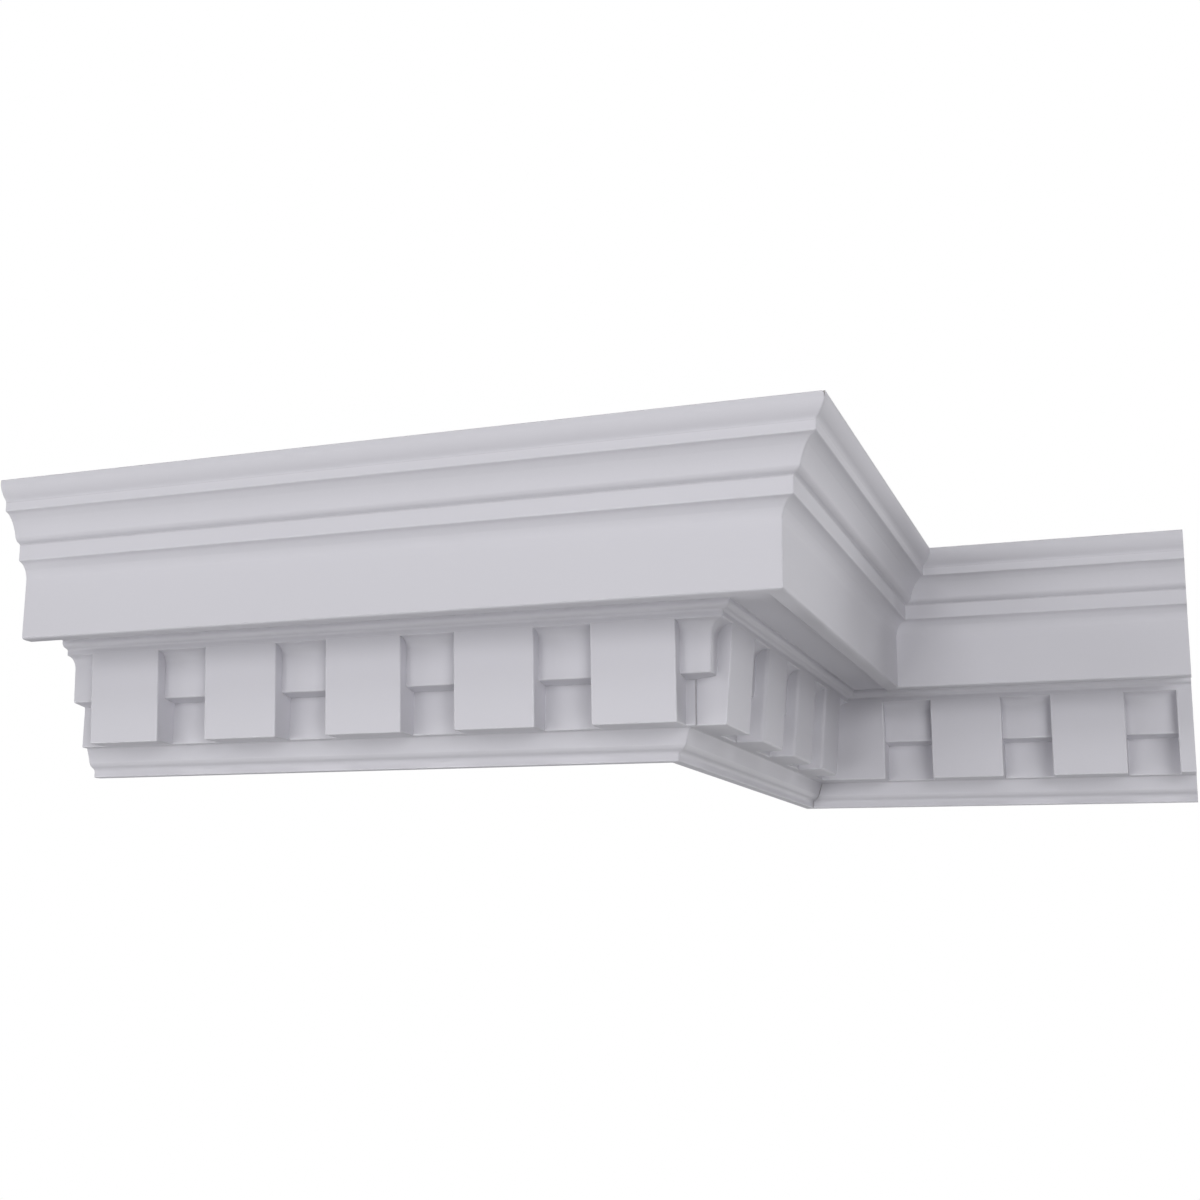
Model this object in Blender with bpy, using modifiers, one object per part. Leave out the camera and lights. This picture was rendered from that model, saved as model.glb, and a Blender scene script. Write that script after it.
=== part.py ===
# Dentil cornice carried round an outside corner and an inside corner, in three mitred lengths.
# Metres, +Z up. The wall faces stand behind the moulding, and the ceiling lies on its top.

from math import atan, cos, floor, hypot, radians, sin

import bmesh
import bpy
from mathutils import Vector

# Plan, measured along the wall faces
FRONT_WALL = 0.4567  # from the square left end to the outside corner of the wall
RETURN_WALL = 0.4101  # from the outside corner back to the inside corner
SET_BACK_WALL = 0.3269  # from the inside corner to the square right end
JOINT_GAP = 0.0003  # glue line between two lengths

# Foot and lower cyma, from the bottom up
FOOT_PROJECTION = 0.0070
FOOT_HEIGHT = 0.0064
LOWER_ROUND_OUT = 0.0070
LOWER_ROUND_RISE = 0.0044
LOWER_ROUND_BOW = 0.138
LOWER_HOLLOW_OUT = 0.0041
LOWER_HOLLOW_RISE = 0.0103
LOWER_HOLLOW_BOW = 0.03

# Dentil band: the ground behind the dentils
LEDGE_OUT = 0.0055  # underside of the band
LOW_RECESS_HEIGHT = 0.0304  # deep recess below the block
BLOCK_OUT = 0.0134  # block between two dentils, over the deep recess
BLOCK_UNDERSIDE_RISE = 0.0019
BLOCK_FACE_HEIGHT = 0.0246
BLOCK_FACE_LEAN = 0.0010
BLOCK_HOLLOW_RADIUS = 0.0092
QUARTER_BOW = 0.2071  # bow of a quarter circle, as a share of its chord
BLOCK_HEAD_OUT = 0.0012

# Dentils
DENTIL_WIDTH = 0.0584
DENTIL_PITCH = 0.0983
DENTIL_LEAN = 0.0047  # a dentil's foot stands this far back from its head
DENTIL_SINK = 0.0002  # head of a dentil behind the bed fillet
DENTIL_TENON = 0.0015  # a dentil runs this far up into the bed fillet
FRONT_CORNER_SPACE = 0.0318  # bed fillet's outside corner to the first dentil, on the front
RETURN_CORNER_SPACE = 0.0264  # the same, on the return
INSIDE_DENTIL_SHOWS = 0.0301  # first dentil of the set-back length, right of the inside corner

# Bed moulding and soffit
BED_FILLET_HEIGHT = 0.0051
BED_ROUND_OUT = 0.0067
BED_ROUND_RISE = 0.0024
BED_ROUND_BOW = 0.14
BED_FASCIA_HEIGHT = 0.0031
SOFFIT_WIDTH = 0.0336
DRIP_DEPTH = 0.0072  # the lip hangs this far below the soffit
LIP_WIDTH = 0.0113

# Corona and crown
CORONA_HEIGHT = 0.0432
CORONA_HOLLOW_OUT = 0.0048
CORONA_HOLLOW_RISE = 0.0115
CORONA_HOLLOW_BOW = 0.08
MIDDLE_SHELF_OUT = 0.0047
MIDDLE_SHELF_RISE = 0.0010
MIDDLE_FILLET_HEIGHT = 0.0125
CYMA_ROUND_OUT = 0.0055
CYMA_ROUND_RISE = 0.0036
CYMA_ROUND_BOW = 0.15
CYMA_HOLLOW_OUT = 0.0084
CYMA_HOLLOW_RISE = 0.0153
CYMA_HOLLOW_BOW = 0.065
TOP_SHELF_OUT = 0.0040
TOP_SHELF_RISE = 0.0009
TOP_FILLET_HEIGHT = 0.0075
CROWN_ROUND_OUT = 0.0071
CROWN_ROUND_RISE = 0.0099
CROWN_ROUND_BOW = 0.09
CROWN_FASCIA_HEIGHT = 0.0040

ARC_STEPS = 8
OVERRUN = 0.02  # stock left past a cut
WELD_DISTANCE = 0.00001

# Places that the sizes above give
LEDGE_HEIGHT = FOOT_HEIGHT + LOWER_ROUND_RISE + LOWER_HOLLOW_RISE
RECESS_PROJECTION = FOOT_PROJECTION + LOWER_ROUND_OUT + LOWER_HOLLOW_OUT + LEDGE_OUT
DENTIL_HEIGHT = LOW_RECESS_HEIGHT + BLOCK_UNDERSIDE_RISE + BLOCK_FACE_HEIGHT + BLOCK_HOLLOW_RADIUS
BED_PROJECTION = (RECESS_PROJECTION + BLOCK_OUT + BLOCK_FACE_LEAN + BLOCK_HOLLOW_RADIUS
                  + BLOCK_HEAD_OUT)
CORONA_PROJECTION = BED_PROJECTION + BED_ROUND_OUT + SOFFIT_WIDTH + LIP_WIDTH
CROWN_PROJECTION = (CORONA_PROJECTION + CORONA_HOLLOW_OUT + MIDDLE_SHELF_OUT + CYMA_ROUND_OUT
                    + CYMA_HOLLOW_OUT + TOP_SHELF_OUT + CROWN_ROUND_OUT)
BED_HEIGHT = BED_FILLET_HEIGHT + BED_ROUND_RISE + BED_FASCIA_HEIGHT
CROWN_HEIGHT = (CORONA_HEIGHT + CORONA_HOLLOW_RISE + MIDDLE_SHELF_RISE + MIDDLE_FILLET_HEIGHT
                + CYMA_ROUND_RISE + CYMA_HOLLOW_RISE + TOP_SHELF_RISE + TOP_FILLET_HEIGHT
                + CROWN_ROUND_RISE + CROWN_FASCIA_HEIGHT)
CORNICE_HEIGHT = LEDGE_HEIGHT + DENTIL_HEIGHT + BED_HEIGHT - DRIP_DEPTH + CROWN_HEIGHT

OUTSIDE_CORNER = Vector((0.0, 0.0, 0.0))
INSIDE_CORNER = Vector((0.0, RETURN_WALL, 0.0))
PLAN_CENTRE = Vector(((SET_BACK_WALL - FRONT_WALL) / 2, (RETURN_WALL - CROWN_PROJECTION) / 2, 0.0))

FACING_FRONT = (radians(90), 0.0, radians(-90))  # outline's x becomes -Y, its depth runs along X
FACING_RIGHT = (radians(90), 0.0, 0.0)  # outline's x becomes +X, its depth runs along Y


class Outline:
    """A section drawn as projection and height, up the face with the solid on the left."""

    def __init__(self, projection, height):
        self.points = [Vector((projection, height))]

    def step(self, out=0.0, up=0.0):
        self.points.append(self.points[-1] + Vector((out, up)))

    def arc(self, out, up, bow):
        """A circular arc that stands off its chord by bow times the chord, hollow when positive."""
        start = self.points[-1]
        chord = hypot(out, up)
        along = Vector((out, up)) / chord
        inward = Vector((-along.y, along.x))
        half_angle = 2 * atan(2 * bow)
        radius = chord / (2 * sin(half_angle))
        for number in range(1, ARC_STEPS + 1):
            angle = half_angle * (2 * number / ARC_STEPS - 1)
            travel = chord / 2 + radius * sin(angle)
            depth = radius * (cos(angle) - cos(half_angle))
            self.points.append(start + along * travel + inward * depth)


def ground_section():
    """The whole moulding without its dentils, closed by the wall face and the ceiling face."""
    pen = Outline(0.0, 0.0)
    pen.step(out=FOOT_PROJECTION)
    pen.step(up=FOOT_HEIGHT)
    pen.arc(LOWER_ROUND_OUT, LOWER_ROUND_RISE, -LOWER_ROUND_BOW)
    pen.arc(LOWER_HOLLOW_OUT, LOWER_HOLLOW_RISE, LOWER_HOLLOW_BOW)

    pen.step(out=LEDGE_OUT)
    pen.step(up=LOW_RECESS_HEIGHT)
    pen.step(out=BLOCK_OUT, up=BLOCK_UNDERSIDE_RISE)
    pen.step(out=BLOCK_FACE_LEAN, up=BLOCK_FACE_HEIGHT)
    pen.arc(BLOCK_HOLLOW_RADIUS, BLOCK_HOLLOW_RADIUS, QUARTER_BOW)
    pen.step(out=BLOCK_HEAD_OUT)

    pen.step(up=BED_FILLET_HEIGHT)
    pen.arc(BED_ROUND_OUT, BED_ROUND_RISE, -BED_ROUND_BOW)
    pen.step(up=BED_FASCIA_HEIGHT)
    pen.step(out=SOFFIT_WIDTH)
    pen.step(up=-DRIP_DEPTH)
    pen.step(out=LIP_WIDTH)

    pen.step(up=CORONA_HEIGHT)
    pen.arc(CORONA_HOLLOW_OUT, CORONA_HOLLOW_RISE, CORONA_HOLLOW_BOW)
    pen.step(out=MIDDLE_SHELF_OUT, up=MIDDLE_SHELF_RISE)
    pen.step(up=MIDDLE_FILLET_HEIGHT)
    pen.arc(CYMA_ROUND_OUT, CYMA_ROUND_RISE, -CYMA_ROUND_BOW)
    pen.arc(CYMA_HOLLOW_OUT, CYMA_HOLLOW_RISE, CYMA_HOLLOW_BOW)
    pen.step(out=TOP_SHELF_OUT, up=TOP_SHELF_RISE)
    pen.step(up=TOP_FILLET_HEIGHT)
    pen.arc(CROWN_ROUND_OUT, CROWN_ROUND_RISE, -CROWN_ROUND_BOW)
    pen.step(up=CROWN_FASCIA_HEIGHT)
    pen.step(out=-CROWN_PROJECTION)
    return pen.points


def dentil_section():
    """One dentil, rooted in the ground behind it and in the bed fillet above it."""
    root = RECESS_PROJECTION - LEDGE_OUT / 2
    head = BED_PROJECTION - DENTIL_SINK
    foot = head - DENTIL_LEAN
    rise = DENTIL_HEIGHT + DENTIL_TENON
    pen = Outline(root, LEDGE_HEIGHT)
    pen.step(out=foot - root)
    pen.step(out=DENTIL_LEAN * rise / DENTIL_HEIGHT, up=rise)
    pen.points.append(Vector((root, LEDGE_HEIGHT + rise)))
    return pen.points


def new_collection(name):
    collection = bpy.data.collections.new(name)
    bpy.context.scene.collection.children.link(collection)
    return collection


def clear_scene():
    for item in list(bpy.data.objects):
        bpy.data.objects.remove(item)


def primed_finish():
    """Matt off-white primer, as the moulding is sold before painting."""
    material = bpy.data.materials.new("matt_primer")
    material.use_nodes = True
    shader = material.node_tree.nodes["Principled BSDF"]
    shader.inputs["Base Color"].default_value = (0.62, 0.61, 0.65, 1.0)
    shader.inputs["Roughness"].default_value = 0.62
    shader.inputs["Metallic"].default_value = 0.0
    return material


def extrusion(name, section, length, centre, facing, collection, frame):
    """A section drawn as a filled 2D curve, drawn out to a length and turned into a mesh."""
    curve = bpy.data.curves.new(name, "CURVE")
    curve.dimensions = "2D"
    curve.fill_mode = "BOTH"
    curve.extrude = length / 2
    spline = curve.splines.new("POLY")
    spline.points.add(len(section) - 1)
    for place, corner in zip(spline.points, section):
        place.co = (corner.x, corner.y, 0.0, 1.0)
    spline.use_cyclic_u = True
    drawn = bpy.data.objects.new(name + "_outline", curve)
    drawn.location = centre
    drawn.rotation_euler = facing
    drawn.parent = frame
    collection.objects.link(drawn)

    bpy.context.view_layer.update()
    evaluated = drawn.evaluated_get(bpy.context.evaluated_depsgraph_get())
    mesh = bpy.data.meshes.new_from_object(evaluated)
    mesh.name = name
    closed = bmesh.new()
    closed.from_mesh(mesh)
    bmesh.ops.remove_doubles(closed, verts=closed.verts, dist=WELD_DISTANCE)
    bmesh.ops.recalc_face_normals(closed, faces=closed.faces)
    closed.to_mesh(mesh)
    closed.free()

    solid = bpy.data.objects.new(name, mesh)
    solid.parent = frame
    solid.matrix_world = drawn.matrix_world
    collection.objects.link(solid)
    bpy.data.objects.remove(drawn)
    return solid


def as_tool(item):
    item.hide_render = True
    item.display_type = "WIRE"
    return item


def saw_block(name, centre, turn, collection, frame):
    """A block with one face on a saw cut, tall enough to pass through the whole moulding."""
    width = 4 * (CROWN_PROJECTION + OVERRUN)
    mesh = bpy.data.meshes.new(name)
    block = bmesh.new()
    bmesh.ops.create_cube(block, size=1.0)
    bmesh.ops.scale(block, vec=(width, width, CORNICE_HEIGHT + 2 * OVERRUN), verts=block.verts)
    block.to_mesh(mesh)
    block.free()
    item = bpy.data.objects.new(name, mesh)
    item.parent = frame
    item.location = centre(width) + Vector((0.0, 0.0, CORNICE_HEIGHT / 2))
    item.rotation_euler = (0.0, 0.0, turn)
    collection.objects.link(item)
    return as_tool(item)


def mitre_saw(name, corner, side, collection, frame):
    """Removes what lies past the mitre plane of a corner, less half the glue line."""
    away = Vector((1.0, 1.0, 0.0)).normalized() * side

    def centre(width):
        return corner + away * (width / 2 - JOINT_GAP / 2)

    return saw_block(name, centre, radians(45), collection, frame)


def square_saw(name, end, side, collection, frame):
    """Cuts a length square at a distance along X."""
    def centre(width):
        return end + Vector((side * width / 2, 0.0, 0.0))

    return saw_block(name, centre, 0.0, collection, frame)


def boolean(item, operation, tool):
    modifier = item.modifiers.new(operation.lower() + "_" + tool.name, "BOOLEAN")
    modifier.operation = operation
    modifier.solver = "EXACT"
    modifier.object = tool


def weld(item):
    modifier = item.modifiers.new("weld", "WELD")
    modifier.merge_threshold = WELD_DISTANCE


def dentil_row(name, first_centre, step, count, facing, collection, frame):
    """Dentils of one length, from the first one at its corner, spaced by the pitch."""
    row = as_tool(extrusion(name, dentil_section(), DENTIL_WIDTH, first_centre, facing,
                            collection, frame))
    array = row.modifiers.new("pitch", "ARRAY")
    array.count = count
    array.use_relative_offset = False
    array.use_constant_offset = True
    local_step = row.matrix_world.to_3x3().inverted() @ step
    array.constant_offset_displace = local_step
    return row


def build_front_length(parts, tools, frame):
    """Left length, on the wall face that comes forward."""
    right = CROWN_PROJECTION + OVERRUN
    left = -FRONT_WALL - OVERRUN
    centre = Vector(((left + right) / 2, 0.0, 0.0))
    length = extrusion("front_length", ground_section(), right - left, centre, FACING_FRONT,
                       parts, frame)

    first_edge = BED_PROJECTION - FRONT_CORNER_SPACE
    count = floor((first_edge + FRONT_WALL) / DENTIL_PITCH) + 1
    row = dentil_row("front_dentils", Vector((first_edge - DENTIL_WIDTH / 2, 0.0, 0.0)),
                     Vector((-DENTIL_PITCH, 0.0, 0.0)), count, FACING_FRONT, tools, frame)
    boolean(length, "UNION", row)
    boolean(length, "DIFFERENCE", mitre_saw("front_mitre", OUTSIDE_CORNER, 1, tools, frame))
    left_end = Vector((-FRONT_WALL, 0.0, 0.0))
    boolean(length, "DIFFERENCE", square_saw("left_end_cut", left_end, -1, tools, frame))
    return length


def build_return_length(parts, tools, frame):
    """Short length that runs back between the two corners."""
    near = -CROWN_PROJECTION - OVERRUN
    far = RETURN_WALL + OVERRUN
    centre = Vector((0.0, (near + far) / 2, 0.0))
    length = extrusion("return_length", ground_section(), far - near, centre, FACING_RIGHT,
                       parts, frame)

    first_edge = RETURN_CORNER_SPACE - BED_PROJECTION
    last_edge = RETURN_WALL - BED_PROJECTION - JOINT_GAP
    count = floor((last_edge - first_edge - DENTIL_WIDTH) / DENTIL_PITCH) + 1
    row = dentil_row("return_dentils", Vector((0.0, first_edge + DENTIL_WIDTH / 2, 0.0)),
                     Vector((0.0, DENTIL_PITCH, 0.0)), count, FACING_RIGHT, tools, frame)
    boolean(length, "UNION", row)
    boolean(length, "DIFFERENCE", mitre_saw("return_outer_mitre", OUTSIDE_CORNER, -1, tools, frame))
    boolean(length, "DIFFERENCE", mitre_saw("return_inner_mitre", INSIDE_CORNER, 1, tools, frame))
    return length


def build_set_back_length(parts, tools, frame):
    """Right length, on the wall face that lies back. Its first dentil runs past the mitre into
    the last space of the return, and stops a glue line short of the return's face."""
    left = -OVERRUN
    right = SET_BACK_WALL + OVERRUN
    centre = Vector(((left + right) / 2, RETURN_WALL, 0.0))
    length = extrusion("set_back_length", ground_section(), right - left, centre, FACING_FRONT,
                       parts, frame)
    boolean(length, "DIFFERENCE", mitre_saw("set_back_mitre", INSIDE_CORNER, -1, tools, frame))

    first_edge = BED_PROJECTION + INSIDE_DENTIL_SHOWS - DENTIL_WIDTH
    count = floor((SET_BACK_WALL - first_edge) / DENTIL_PITCH) + 1
    row = dentil_row("set_back_dentils",
                     Vector((first_edge + DENTIL_WIDTH / 2, RETURN_WALL, 0.0)),
                     Vector((DENTIL_PITCH, 0.0, 0.0)), count, FACING_FRONT, tools, frame)
    clear_of_return = Vector((JOINT_GAP, RETURN_WALL / 2, -JOINT_GAP))
    return_ground = as_tool(extrusion("return_ground", ground_section(), RETURN_WALL + 2 * OVERRUN,
                                      clear_of_return, FACING_RIGHT, tools, frame))
    boolean(row, "DIFFERENCE", return_ground)
    boolean(length, "UNION", row)
    right_end = Vector((SET_BACK_WALL, 0.0, 0.0)) + INSIDE_CORNER
    boolean(length, "DIFFERENCE", square_saw("right_end_cut", right_end, 1, tools, frame))
    return length


def main():
    clear_scene()
    parts = new_collection("dentil_cornice")
    tools = new_collection("cutters")
    frame = bpy.data.objects.new("cornice_frame", None)
    frame.location = -PLAN_CENTRE
    parts.objects.link(frame)

    finish = primed_finish()
    for build in (build_front_length, build_return_length, build_set_back_length):
        length = build(parts, tools, frame)
        weld(length)
        length.data.materials.append(finish)


main()
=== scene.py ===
"""Dentil cornice round an outside and an inside corner: fine surfaces, finish, light and camera."""
from math import atan, cos, hypot, radians, sin, sqrt

import bmesh
import bpy
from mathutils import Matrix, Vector


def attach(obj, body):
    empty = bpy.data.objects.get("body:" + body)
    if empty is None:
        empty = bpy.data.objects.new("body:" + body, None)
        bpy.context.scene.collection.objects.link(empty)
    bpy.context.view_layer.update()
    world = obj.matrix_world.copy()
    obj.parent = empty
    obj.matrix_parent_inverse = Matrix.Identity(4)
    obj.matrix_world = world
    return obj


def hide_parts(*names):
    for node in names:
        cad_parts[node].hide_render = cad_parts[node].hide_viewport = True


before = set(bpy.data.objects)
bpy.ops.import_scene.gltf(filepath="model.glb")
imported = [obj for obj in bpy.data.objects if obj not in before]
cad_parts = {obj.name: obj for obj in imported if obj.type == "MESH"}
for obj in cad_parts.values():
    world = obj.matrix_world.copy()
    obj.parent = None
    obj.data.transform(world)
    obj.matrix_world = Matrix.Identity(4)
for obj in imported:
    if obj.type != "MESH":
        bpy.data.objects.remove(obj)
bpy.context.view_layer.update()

# Plan, measured along the wall faces, in metres
FRONT_WALL = 0.4567
RETURN_WALL = 0.4101
SET_BACK_WALL = 0.3269
GLUE_LINE = 0.00002  # what is left between two lengths once the mitre is pulled up and filled

# How far a moulded corner is softened, back along the one side and on along the other
EDGE = (0.0011, 0.0011)
QUIRK = (0.0007, 0.0007)
SAWN = (0.0003, 0.0003)
SMOOTH = None

# Section, from the foot to the ceiling: each step is a run out, a run up, a bow, and the
# softness of the corner where it ends. A bow makes an arc that stands off its chord by that
# share of it, hollow when positive.
FOOT_PROJECTION = 0.0070
LOWER_CYMA = [(0.0, 0.0064, 0.0, (0.0026, 0.0040)), (0.0070, 0.0044, -0.138, SMOOTH),
              (0.0041, 0.0103, 0.03, QUIRK)]
BAND = [(0.0055, 0.0, 0.0, EDGE), (0.0, 0.0304, 0.0, QUIRK), (0.0134, 0.0019, 0.0, EDGE),
        (0.0010, 0.0246, 0.0, SMOOTH), (0.0092, 0.0092, 0.2071, SMOOTH), (0.0012, 0.0, 0.0, EDGE)]
BED = [(0.0, 0.0051, 0.0, (0.0020, 0.0032)), (0.0067, 0.0024, -0.14, (0.0020, 0.0014)),
       (0.0, 0.0031, 0.0, QUIRK)]
SOFFIT = [(0.0336, 0.0, 0.0, QUIRK), (0.0, -0.0072, 0.0, EDGE),
          (0.0113, 0.0, 0.0, (0.0050, 0.0018))]
CORONA = [(0.0, 0.0432, 0.0, SMOOTH), (0.0048, 0.0115, 0.08, (0.0050, 0.0035)),
          (0.0047, 0.0010, 0.0, (0.0009, 0.0011)), (0.0, 0.0125, 0.0, (0.0014, 0.0024))]
CROWN = [(0.0055, 0.0036, -0.15, SMOOTH), (0.0084, 0.0153, 0.065, (0.0050, 0.0030)),
         (0.0040, 0.0009, 0.0, (0.0009, 0.0011)), (0.0, 0.0075, 0.0, (0.0015, 0.0034)),
         (0.0071, 0.0099, -0.09, (0.0015, 0.0012)), (0.0, 0.0040, 0.0, EDGE)]

# Dentils
DENTIL_WIDTH = 0.0584
DENTIL_PITCH = 0.0983
DENTIL_LEAN = 0.0047  # how much further out its face is at the top than at the foot
DENTIL_SINK = 0.0002  # how far its head lies behind the bed fillet
DENTIL_TENON = 0.0015  # how far it runs up into the bed fillet
FRONT_CORNER_SPACE = 0.0318
RETURN_CORNER_SPACE = 0.0264
INSIDE_DENTIL_SHOWS = 0.0301  # of the set-back's first dentil, at the inside corner

ARC_STEPS = 14
ROUND_STEPS = 5
FULL_SIDE = 0.94  # two softened corners take up no more than this of the side between them
ARRIS_RADIUS = 0.0012  # upright edge of the outside corner
ARRIS_STEPS = 4
RECESS_ARRIS_RADIUS = 0.0002  # the same edge inside the recess under the block, which is crisp
# Rounding of a dentil's upright edges and of its foot. The foot's stays the smaller, or the
# corner between them folds over. The return's dentils, all but the first, are the worn ones.
CRISP = (0.0011, 0.0009)
WORN = (0.0028, 0.0018)
UPRIGHT_STEPS = 6
FOOT_STEPS = 4
OVERRUN = 0.02  # how far a run is made past where it is sawn off or hidden
WELD_DISTANCE = 0.000002
SHARP_TURN = radians(40)
LARGE_FACES_FIRST = 100

# How faces are told apart for the finish, its painted highlights on proud edges and its painted
# shade in creases
EDGE_LENGTH = 0.0010  # shorter edges are left out when a face is judged
NARROW = EDGE_LENGTH / 3  # area over perimeter of the strips along a softened corner
CLEAR_BEND = radians(12)
SQUARE_ON = 0.99  # share of a normal that points straight out
MITRE_SHARE = sqrt(0.5)
MITRE_TOLERANCE = 0.001
MITRE_CORNERS = 8  # a mitre's face has more corners than this

# The mitre at the outside corner has opened a little at its very top and in the recess under
# the block, the one at the inside corner under the dentils
OPEN_JOINT_HEIGHT = 0.0045
OPEN_JOINT_WIDTH = 0.0012
OPEN_RECESS_SHARE = 0.4  # of the width at the top
OPEN_FOOT_WIDTH = 0.0005


def drawn(begin, out, up, bow):
    """Points of one section step after its first, an arc in short chords."""
    if bow == 0.0:
        return [begin + Vector((out, up))]
    chord = hypot(out, up)
    along = Vector((out, up)) / chord
    inward = Vector((-along.y, along.x))
    half_angle = 2 * atan(2 * bow)
    radius = chord / (2 * sin(half_angle))
    points = []
    for number in range(1, ARC_STEPS + 1):
        angle = half_angle * (2 * number / ARC_STEPS - 1)
        travel = chord / 2 + radius * sin(angle)
        depth = radius * (cos(angle) - cos(half_angle))
        points.append(begin + along * travel + inward * depth)
    return points


def rise_of(steps):
    return sum(up for out, up, bow, softness in steps)


def reach_of(steps):
    return sum(out for out, up, bow, softness in steps)


LEDGE_HEIGHT = rise_of(LOWER_CYMA)
LEDGE_DEPTH = reach_of(BAND[:1])
RECESS_TOP = LEDGE_HEIGHT + rise_of(BAND[:2])
RECESS_PROJECTION = FOOT_PROJECTION + reach_of(LOWER_CYMA) + LEDGE_DEPTH
DENTIL_HEIGHT = rise_of(BAND)
BED_PROJECTION = FOOT_PROJECTION + reach_of(LOWER_CYMA + BAND)
FACE = LOWER_CYMA + BAND + BED + SOFFIT + CORONA + CROWN
CORNICE_HEIGHT = rise_of(FACE)
CROWN_PROJECTION = FOOT_PROJECTION + reach_of(FACE)
PLAN_CENTRE = Vector(((SET_BACK_WALL - FRONT_WALL) / 2, (RETURN_WALL - CROWN_PROJECTION) / 2, 0.0))


class Loop:
    """A closed outline that can be walked by distance."""

    def __init__(self, points):
        self.points = points
        self.places = [0.0]
        for here, there in zip(points, points[1:] + points[:1]):
            self.places.append(self.places[-1] + (there - here).length)
        self.girth = self.places[-1]

    def at(self, place):
        place %= self.girth
        for number, here in enumerate(self.points):
            if place <= self.places[number + 1]:
                there = self.points[(number + 1) % len(self.points)]
                length = self.places[number + 1] - self.places[number]
                return here.lerp(there, (place - self.places[number]) / length)
        return self.points[0]  # only where rounding has carried it past the end


def softened(points, softness):
    """The outline with each of its corners rounded as far as its softness says."""
    loop = Loop(points)
    corners = sorted(softness)
    places = [loop.places[number] for number in corners]
    backs = [softness[number][0] for number in corners]
    ons = [softness[number][1] for number in corners]
    for order in range(len(corners)):
        following = (order + 1) % len(corners)
        room = FULL_SIDE * ((places[following] - places[order]) % loop.girth)
        share = min(1.0, room / (ons[order] + backs[following]))
        ons[order] *= share
        backs[following] *= share
    bends = [(place - back, place + on, points[number])
             for place, back, on, number in zip(places, backs, ons, corners)]

    rounded = []
    for order, (begin, end, corner) in enumerate(bends):
        first, last = loop.at(begin), loop.at(end)
        for step in range(ROUND_STEPS + 1):
            share = step / ROUND_STEPS
            rounded.append(first.lerp(corner, share).lerp(corner.lerp(last, share), share))
        stop = bends[(order + 1) % len(bends)][0]
        stop += loop.girth if stop < end else 0.0
        for lap in (0.0, loop.girth):
            for place, point in zip(loop.places, points):
                if end + 2 * WELD_DISTANCE < place + lap < stop - 2 * WELD_DISTANCE:
                    rounded.append(point)
    return rounded


def ground_outline():
    """Section without dentils, once round: up the face, back along the top, down the wall."""
    points = [Vector((0.0, 0.0)), Vector((FOOT_PROJECTION, 0.0))]
    softness = {0: SAWN, 1: EDGE}
    for out, up, bow, corner in FACE:
        points += drawn(points[-1], out, up, bow)
        if corner:
            softness[len(points) - 1] = corner
    points.append(Vector((0.0, CORNICE_HEIGHT)))
    softness[len(points) - 1] = SAWN
    return softened(points, softness)


# Ends of a length. Each gives, for a point of the section, its places along the run.
def square_end(at):
    def stations(projection, height):
        return [(at, projection)]
    return stations


def inside_mitre(at, side, opening=0.0):
    """The foot of the joint, under the dentils, may gape."""
    def stations(projection, height):
        gape = opening if height < LEDGE_HEIGHT - EDGE[0] else 0.0
        return [(at - side * (projection + GLUE_LINE + gape), projection)]
    return stations


def outside_mitre(at, side, opening=0.0):
    """The upright edge is rounded, half by each length, and the joint may gape in two places."""
    def stations(projection, height):
        in_recess = LEDGE_HEIGHT < height < RECESS_TOP
        radius = RECESS_ARRIS_RADIUS if in_recess else min(ARRIS_RADIUS, projection / 2)
        at_top = 1 - (CORNICE_HEIGHT - height) / OPEN_JOINT_HEIGHT
        gape = opening * (OPEN_RECESS_SHARE if in_recess else max(0.0, at_top))
        found = []
        for step in range(ARRIS_STEPS + 1):
            turn = radians(45) * step / ARRIS_STEPS
            along = projection - radius * (1 - sin(turn)) - GLUE_LINE - gape
            found.append((at + side * along, projection - radius * (1 - cos(turn))))
        return found
    return stations


def front_place(along, projection, height):
    return Vector((along, -projection, height)) - PLAN_CENTRE


def return_place(along, projection, height):
    return Vector((projection, along, height)) - PLAN_CENTRE


def set_back_place(along, projection, height):
    return Vector((along, RETURN_WALL - projection, height)) - PLAN_CENTRE


def as_object(name, solid):
    """Closes a bmesh into a new object."""
    bmesh.ops.remove_doubles(solid, verts=solid.verts, dist=WELD_DISTANCE)
    bmesh.ops.dissolve_degenerate(solid, edges=solid.edges, dist=WELD_DISTANCE)
    bmesh.ops.recalc_face_normals(solid, faces=solid.faces)
    mesh = bpy.data.meshes.new(name)
    solid.to_mesh(mesh)
    solid.free()
    item = bpy.data.objects.new(name, mesh)
    bpy.context.scene.collection.objects.link(item)
    return item


def ground(name, outline, left_end, right_end, place):
    """The running moulding of one length, as rings of the outline from one end to the other."""
    solid = bmesh.new()
    columns = []
    for point in outline:
        stations = left_end(point.x, point.y)[::-1] + right_end(point.x, point.y)
        columns.append([solid.verts.new(place(along, projection, point.y))
                        for along, projection in stations])
    for here, there in zip(columns, columns[1:] + columns[:1]):
        for number in range(len(here) - 1):
            solid.faces.new((here[number], here[number + 1], there[number + 1], there[number]))
    solid.faces.new([column[0] for column in columns])
    solid.faces.new([column[-1] for column in reversed(columns)])
    return as_object(name, solid)


def rounded_off(solid, edges, radius, steps):
    return bmesh.ops.bevel(solid, geom=edges, offset=radius, segments=steps, profile=0.5,
                           affect="EDGES")["verts"]


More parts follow.
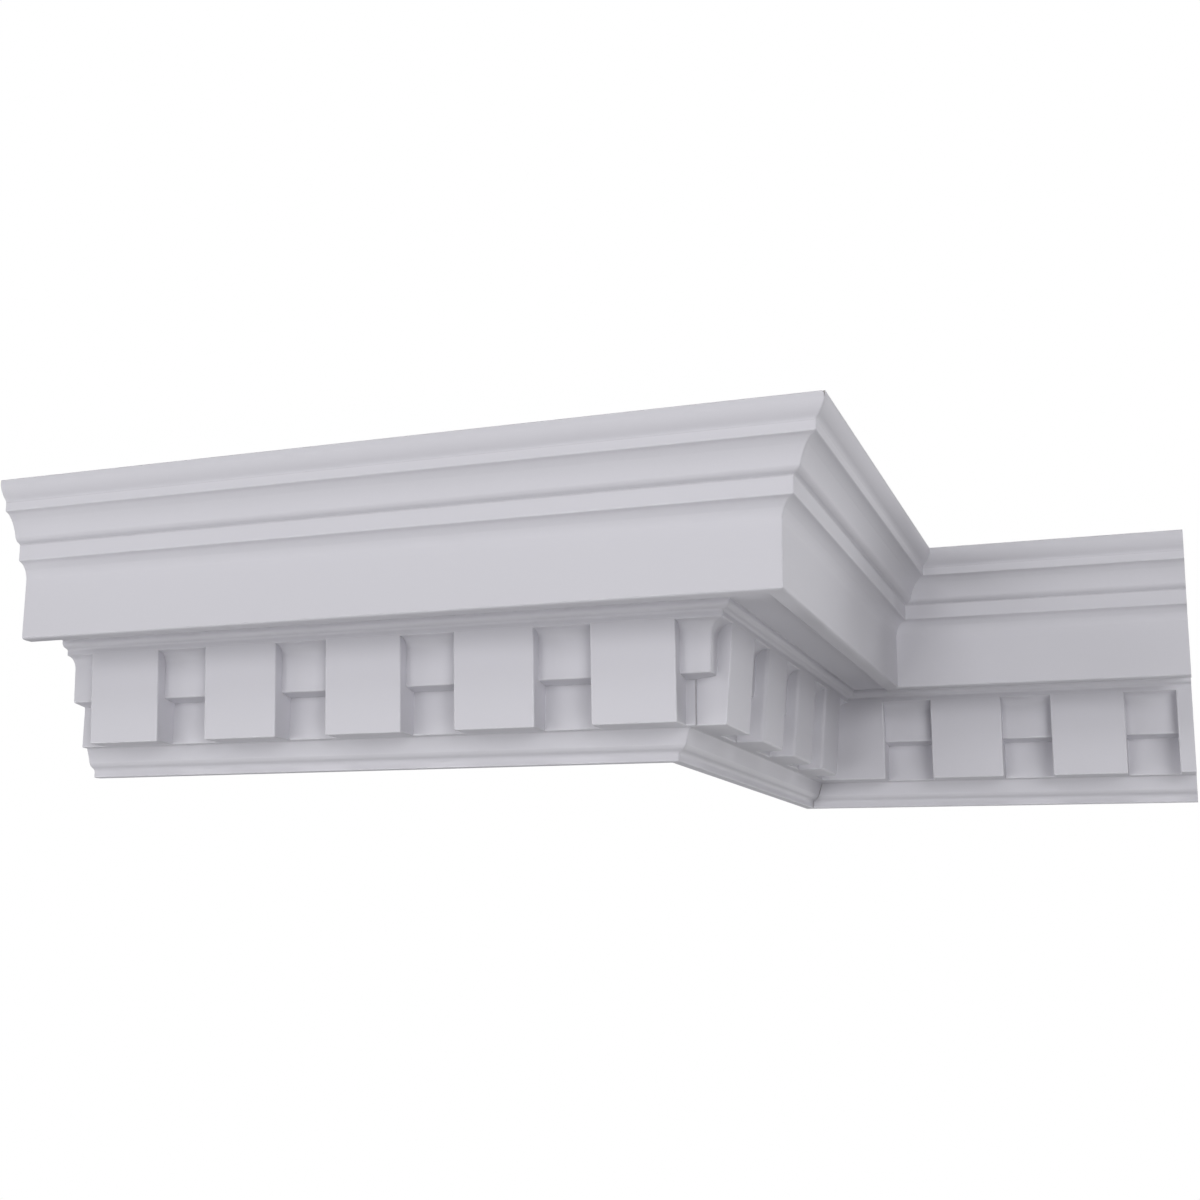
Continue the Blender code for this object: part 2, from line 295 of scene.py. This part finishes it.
def dentil(solid, left, right, place, rounding):
    """One dentil with softened edges, rooted in the ground and in the bed fillet."""
    root = RECESS_PROJECTION - LEDGE_DEPTH / 2
    head = BED_PROJECTION - DENTIL_SINK
    foot = head - DENTIL_LEAN
    rise = DENTIL_HEIGHT + DENTIL_TENON
    top = LEDGE_HEIGHT + rise
    side = [(root, LEDGE_HEIGHT), (foot, LEDGE_HEIGHT),
            (foot + DENTIL_LEAN * rise / DENTIL_HEIGHT, top), (root, top)]
    near = [solid.verts.new(place(left, out, up)) for out, up in side]
    far = [solid.verts.new(place(right, out, up)) for out, up in side]
    solid.faces.new(near)
    solid.faces.new(far[::-1])
    for number in range(len(side)):
        following = (number + 1) % len(side)
        solid.faces.new((near[number], far[number], far[following], near[following]))
    uprights = [solid.edges.get((near[1], near[2])), solid.edges.get((far[1], far[2]))]
    rounded = rounded_off(solid, uprights, rounding[0], UPRIGHT_STEPS)
    edges = dict.fromkeys(edge for vert in [near[0], far[0]] + rounded for edge in vert.link_edges)
    foot_edges = [edge for edge in edges if set(edge.verts) != {near[0], far[0]}
                  and all(abs(vert.co.z - LEDGE_HEIGHT) < WELD_DISTANCE for vert in edge.verts)]
    rounded_off(solid, foot_edges, rounding[1], FOOT_STEPS)


def dentil_row(name, first_left, step, roundings, place):
    solid = bmesh.new()
    for number, rounding in enumerate(roundings):
        left = first_left + step * number
        dentil(solid, left, left + DENTIL_WIDTH, place, rounding)
    return as_object(name, solid)


def combined(item, operation, tool):
    """Joins or cuts a piece with a tool, and uses the tool up."""
    modifier = item.modifiers.new("joint", "BOOLEAN")
    modifier.operation = operation
    modifier.solver = "EXACT"
    modifier.object = tool
    evaluated = item.evaluated_get(bpy.context.evaluated_depsgraph_get())
    mesh = bpy.data.meshes.new_from_object(evaluated)
    item.modifiers.clear()
    item.data = mesh
    bpy.data.objects.remove(tool)
    return item


def sawn_square(item, at):
    """Cuts a length square where it ends, and closes the cut."""
    solid = bmesh.new()
    solid.from_mesh(item.data)
    geometry = solid.verts[:] + solid.edges[:] + solid.faces[:]
    place = Vector((at, 0.0, 0.0)) - PLAN_CENTRE
    bmesh.ops.bisect_plane(solid, geom=geometry, plane_co=place, plane_no=(1.0, 0.0, 0.0),
                           clear_outer=True, dist=WELD_DISTANCE)
    rim = [edge for edge in solid.edges if edge.is_boundary]
    bmesh.ops.contextual_create(solid, geom=rim)
    bmesh.ops.recalc_face_normals(solid, faces=solid.faces)
    solid.to_mesh(item.data)
    solid.free()
    return item


def front_length(outline):
    piece = ground("front_moulding", outline, square_end(-FRONT_WALL),
                   outside_mitre(0.0, 1, OPEN_JOINT_WIDTH), front_place)
    first = BED_PROJECTION - FRONT_CORNER_SPACE - DENTIL_WIDTH
    row = dentil_row("front_row", first, -DENTIL_PITCH, [CRISP] * 5, front_place)
    return combined(piece, "UNION", row)


def return_length(outline):
    piece = ground("return_moulding", outline, outside_mitre(0.0, -1), inside_mitre(RETURN_WALL, 1),
                   return_place)
    first = RETURN_CORNER_SPACE - BED_PROJECTION
    row = dentil_row("return_row", first, DENTIL_PITCH, [CRISP, WORN, WORN, WORN], return_place)
    return combined(piece, "UNION", row)


def set_back_length(outline):
    piece = ground("set_back_moulding", outline, inside_mitre(0.0, -1, OPEN_FOOT_WIDTH),
                   square_end(SET_BACK_WALL + OVERRUN), set_back_place)
    first = BED_PROJECTION + INSIDE_DENTIL_SHOWS - DENTIL_WIDTH
    row = dentil_row("set_back_row", first, DENTIL_PITCH, [CRISP] * 4, set_back_place)

    def clear_place(along, projection, height):
        return return_place(along, projection + GLUE_LINE, height - GLUE_LINE)

    block = ground("return_ground", outline, square_end(RETURN_WALL / 2),
                   square_end(RETURN_WALL + OVERRUN), clear_place)
    combined(row, "DIFFERENCE", block)
    combined(piece, "UNION", row)
    return sawn_square(piece, SET_BACK_WALL)


# Finish
class Value:
    """A shader socket. Arithmetic on it adds Math nodes."""

    def __init__(self, finish, socket):
        self.finish = finish
        self.socket = socket

    def math(self, operation, first, second=0.0):
        return self.finish.node("ShaderNodeMath", {"operation": operation}, {0: first, 1: second})

    def __add__(self, other):
        return self.math("ADD", self, other)

    __radd__ = __add__

    def __sub__(self, other):
        return self.math("SUBTRACT", self, other)

    def __rsub__(self, other):
        return self.math("SUBTRACT", other, self)

    def __mul__(self, other):
        return self.math("MULTIPLY", self, other)

    __rmul__ = __mul__

    def clipped(self):
        return self.finish.node("ShaderNodeClamp", {}, {"Value": self})


class Finish:
    """A material and the one way its nodes are added."""

    def __init__(self, name):
        self.material = bpy.data.materials.new(name)
        self.material.use_nodes = True
        self.tree = self.material.node_tree
        self.shader = self.tree.nodes["Principled BSDF"]

    def put(self, node, values):
        for key, value in values.items():
            if isinstance(value, Value):
                self.tree.links.new(value.socket, node.inputs[key])
            else:
                node.inputs[key].default_value = value

    def node(self, kind, settings, values, output=0):
        node = self.tree.nodes.new(kind)
        for key, value in settings.items():
            setattr(node, key, value)
        self.put(node, values)
        return Value(self, node.outputs[output])

    def noise(self, place, scale, detail, roughness=0.5):
        return self.node("ShaderNodeTexNoise", {}, {"Vector": place, "Scale": scale,
                                                    "Detail": detail, "Roughness": roughness})

    def blend(self, share, first, second):
        return self.node("ShaderNodeMix", {"data_type": "RGBA"}, {0: share, 6: first, 7: second}, 2)

    def mark(self, name):
        return self.node("ShaderNodeAttribute", {"attribute_name": name}, {}, 2)


PRIMER = (0.560, 0.553, 0.594, 1.0)
# A lighter primer, for the cloudy coats and also for the painted highlight along the proud edges
THIN_PRIMER_AND_PAINTED_HIGHLIGHT = (0.600, 0.593, 0.632, 1.0)
# Darker tone: painted shade in the creases, and also the real dirt in the bare foam's pores
DUST_AND_PAINTED_SHADE = (0.470, 0.463, 0.496, 1.0)
RAW_FOAM = (0.600, 0.575, 0.520, 1.0)
BLACK = (0.0, 0.0, 0.0, 1.0)
WHITE = (1.0, 1.0, 1.0, 1.0)
# Grain, in repeats to the metre, and its depth in metres
CLOUD_SCALE = 11.0
FLECK_SCALE = 260.0
PORE_SCALE = 420.0
PEEL_SCALE = 900.0
GRAIN_DEPTH = 0.00012
GRAIN_STRENGTH = 0.35
FOAM_GRAIN = 4.0  # how much deeper the grain is in bare foam


def primer_finish():
    """Sprayed matt primer: cloudy coats, fine orange peel, painted highlights on proud edges,
    painted shade in creases, bare foam behind.
    """
    finish = Finish("matt_primer")
    place = finish.node("ShaderNodeTexCoord", {}, {}, 3)
    clouds = finish.noise(place, CLOUD_SCALE, 3.0)
    peel = finish.noise(place, PEEL_SCALE, 2.0)
    flecks = finish.noise(place, FLECK_SCALE, 4.0, 0.7)
    pores = finish.node("ShaderNodeTexVoronoi", {"feature": "F1"},
                        {"Vector": place, "Scale": PORE_SCALE})

    # The edge mark carries painted highlight: the proud convex edges are lightened
    edge = finish.mark("edge")
    # This mark carries painted shade: the concave creases are darkened
    painted_crease_shade = finish.mark("painted_crease_shade")
    bare = finish.mark("bare")
    coat = ((clouds - 0.5) * 0.9 + (flecks - 0.5) * 0.5 + 0.5).clipped()
    tone = finish.blend(coat * 0.35, PRIMER, THIN_PRIMER_AND_PAINTED_HIGHLIGHT)
    # Painted highlight: the proud edges are made lighter
    tone = finish.blend((edge * (flecks * 1.2)).clipped(), tone, THIN_PRIMER_AND_PAINTED_HIGHLIGHT)
    # Painted shade: the creases are made darker
    tone = finish.blend((painted_crease_shade * (flecks * 0.9)).clipped(), tone, DUST_AND_PAINTED_SHADE)
    foam = finish.blend((pores * 0.8 + flecks * 0.3).clipped(), RAW_FOAM, DUST_AND_PAINTED_SHADE)
    tone = finish.blend(bare, tone, foam)

    height = (peel * 0.5 + flecks * 0.5) * (1.0 - bare) + (pores + flecks) * bare * FOAM_GRAIN
    bump = finish.node("ShaderNodeBump", {},
                       {"Strength": GRAIN_STRENGTH, "Distance": GRAIN_DEPTH, "Height": height})
    finish.put(finish.shader, {"Base Color": tone, "Roughness": 0.56 + flecks * 0.12 + bare * 0.2,
                               "Normal": bump, "Metallic": 0.0, "IOR": 1.45,
                               "Specular IOR Level": 0.35})
    return finish.material


def is_bare(face):
    """Whether a face is on a back, the top, a sawn end or a mitre."""
    flat = face.normal
    place = face.calc_center_median() + PLAN_CENTRE

    def lies_at(value, target):
        return abs(value - target) < WELD_DISTANCE

    on_wall = flat.x < -SQUARE_ON and lies_at(place.x, 0.0)
    on_wall = on_wall or flat.y > SQUARE_ON and (lies_at(place.y, 0.0)
                                                 or lies_at(place.y, RETURN_WALL))
    on_top = flat.z > SQUARE_ON and place.z > CORNICE_HEIGHT - WELD_DISTANCE
    on_end = lies_at(place.x, -FRONT_WALL) or lies_at(place.x, SET_BACK_WALL)
    on_joint = (abs(abs(flat.x) - MITRE_SHARE) < MITRE_TOLERANCE and abs(flat.z) < MITRE_TOLERANCE
                and len(face.verts) > MITRE_CORNERS)
    return on_wall or on_top or on_end or on_joint


def surface_marks(item):
    """Marks each face for painted highlight as a proud edge, painted shade as a crease, or bare
    foam.
    """
    solid = bmesh.new()
    solid.from_mesh(item.data)
    painted_highlight_mark = solid.faces.layers.float.new("edge")
    painted_crease_shade_mark = solid.faces.layers.float.new("painted_crease_shade")
    bare_mark = solid.faces.layers.float.new("bare")
    for face in solid.faces:
        bends = sorted(edge.calc_face_angle_signed(0.0) for edge in face.edges
                       if edge.calc_length() > EDGE_LENGTH)
        narrow = face.calc_area() < face.calc_perimeter() * NARROW
        # Narrow strips on a proud edge get painted highlight
        if narrow and bends and bends[-1] > CLEAR_BEND:
            face[painted_highlight_mark] = 1.0
        # Narrow strips in a crease get painted shade
        if narrow and bends and bends[0] < -CLEAR_BEND:
            face[painted_crease_shade_mark] = 1.0
        if is_bare(face):
            face[bare_mark] = 1.0
    solid.to_mesh(item.data)
    solid.free()


def dressed(item, node, material):
    """Smooth shading, the primer, and the piece's place in the model."""
    surface_marks(item)
    item.data.materials.clear()
    item.data.materials.append(material)
    for face in item.data.polygons:
        face.material_index = 0  # the cuts leave other numbers behind
    item.data.shade_smooth()
    item.data.set_sharp_from_angle(angle=SHARP_TURN)
    shading = item.modifiers.new("flat_faces_stay_flat", "WEIGHTED_NORMAL")
    shading.keep_sharp = True
    shading.weight = LARGE_FACES_FIRST
    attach(item, "root")
    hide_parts(node)
    return item


# Studio
FLOOR_DROP = 3.0
FLOOR_SIDES = 64
SURROUND_RADIUS = 30.0
SURROUND_SPLITS = 3
DOME_STRENGTH = 0.05  # even light from all round
LIGHT_DISTANCE = 4.5
LIGHT_SIZE = 1.8
# Soft lamps: name, bearing to the right of straight in front, height angle, watts
LAMPS = [("left_lamp", -60.0, -15.0, 33.2), ("under_left_lamp", -90.0, -40.0, 45.6),
         ("left_front_lamp", -30.0, 10.0, 35.3), ("low_front_lamp", -15.0, -15.0, 37.3),
         ("high_front_lamp", 0.0, 40.0, 34.7), ("right_front_lamp", 30.0, 10.0, 54.4),
         ("right_lamp", 45.0, 10.0, 21.8), ("low_right_lamp", 45.0, -15.0, 24.0),
         ("under_right_lamp", 60.0, -70.0, 36.5), ("high_side_lamp", 120.0, 40.0, 29.0),
         ("back_right_lamp", 135.0, 10.0, 48.8), ("low_back_right_lamp", 135.0, -15.0, 32.0),
         ("low_back_lamp", 165.0, -15.0, 26.7), ("under_back_lamp", 180.0, -40.0, 14.2),
         ("back_left_lamp", -150.0, 15.0, 60.0), ("top_back_lamp", 180.0, 65.0, 60.0)]


def seen_only(item):
    """A white surface behind the model that throws no light on it."""
    finish = Finish(item.name + "_white")
    finish.put(finish.shader, {"Base Color": BLACK, "Roughness": 1.0, "Specular IOR Level": 0.0,
                               "Emission Color": WHITE, "Emission Strength": 1.0})
    item.data.materials.append(finish.material)
    item.visible_diffuse = False
    item.visible_glossy = False
    item.visible_transmission = False
    item.visible_volume_scatter = False
    item.visible_shadow = False


def white_studio():
    solid = bmesh.new()
    bmesh.ops.create_circle(solid, cap_ends=True, segments=FLOOR_SIDES, radius=SURROUND_RADIUS)
    floor = as_object("studio_floor", solid)
    floor.location = (0.0, 0.0, -FLOOR_DROP)
    seen_only(floor)
    solid = bmesh.new()
    bmesh.ops.create_icosphere(solid, subdivisions=SURROUND_SPLITS, radius=SURROUND_RADIUS)
    seen_only(as_object("studio_surround", solid))


def soft_lamp(name, bearing, height, watts):
    lamp = bpy.data.lights.new(name, "AREA")
    lamp.shape = "DISK"
    lamp.size = LIGHT_SIZE
    lamp.energy = watts
    item = bpy.data.objects.new(name, lamp)
    bearing, height = radians(bearing), radians(height)
    toward = Vector((sin(bearing) * cos(height), -cos(bearing) * cos(height), sin(height)))
    item.location = toward * LIGHT_DISTANCE
    item.visible_camera = False
    item.rotation_euler = (-toward).to_track_quat("-Z", "Y").to_euler()
    bpy.context.scene.collection.objects.link(item)


def dome():
    """A little even light from all round."""
    world = bpy.data.worlds.new("white_dome")
    world.use_nodes = True
    background = world.node_tree.nodes["Background"]
    background.inputs["Color"].default_value = WHITE
    background.inputs["Strength"].default_value = DOME_STRENGTH
    bpy.context.scene.world = world


def photo_camera():
    """Stands under the moulding's foot, to the right of the outside corner, and looks up."""
    camera = bpy.data.cameras.new("photo_camera")
    camera.sensor_width = 36.0
    camera.lens = 48.07
    camera.shift_x = 0.03326
    camera.shift_y = 0.01656
    camera.clip_start = 0.01
    item = bpy.data.objects.new("photo_camera", camera)
    item.location = (0.37742, -1.15503, -0.11131)
    item.rotation_euler = (radians(101.0335), radians(-0.6652), radians(21.0242))
    bpy.context.scene.collection.objects.link(item)
    bpy.context.scene.camera = item


outline = ground_outline()
primer = primer_finish()
lengths = {"front_length": front_length(outline), "return_length": return_length(outline),
           "set_back_length": set_back_length(outline)}
for node, length in lengths.items():
    dressed(length, node, primer)

white_studio()
dome()
for lamp in LAMPS:
    soft_lamp(*lamp)
photo_camera()
bpy.context.scene.view_settings.view_transform = "Standard"
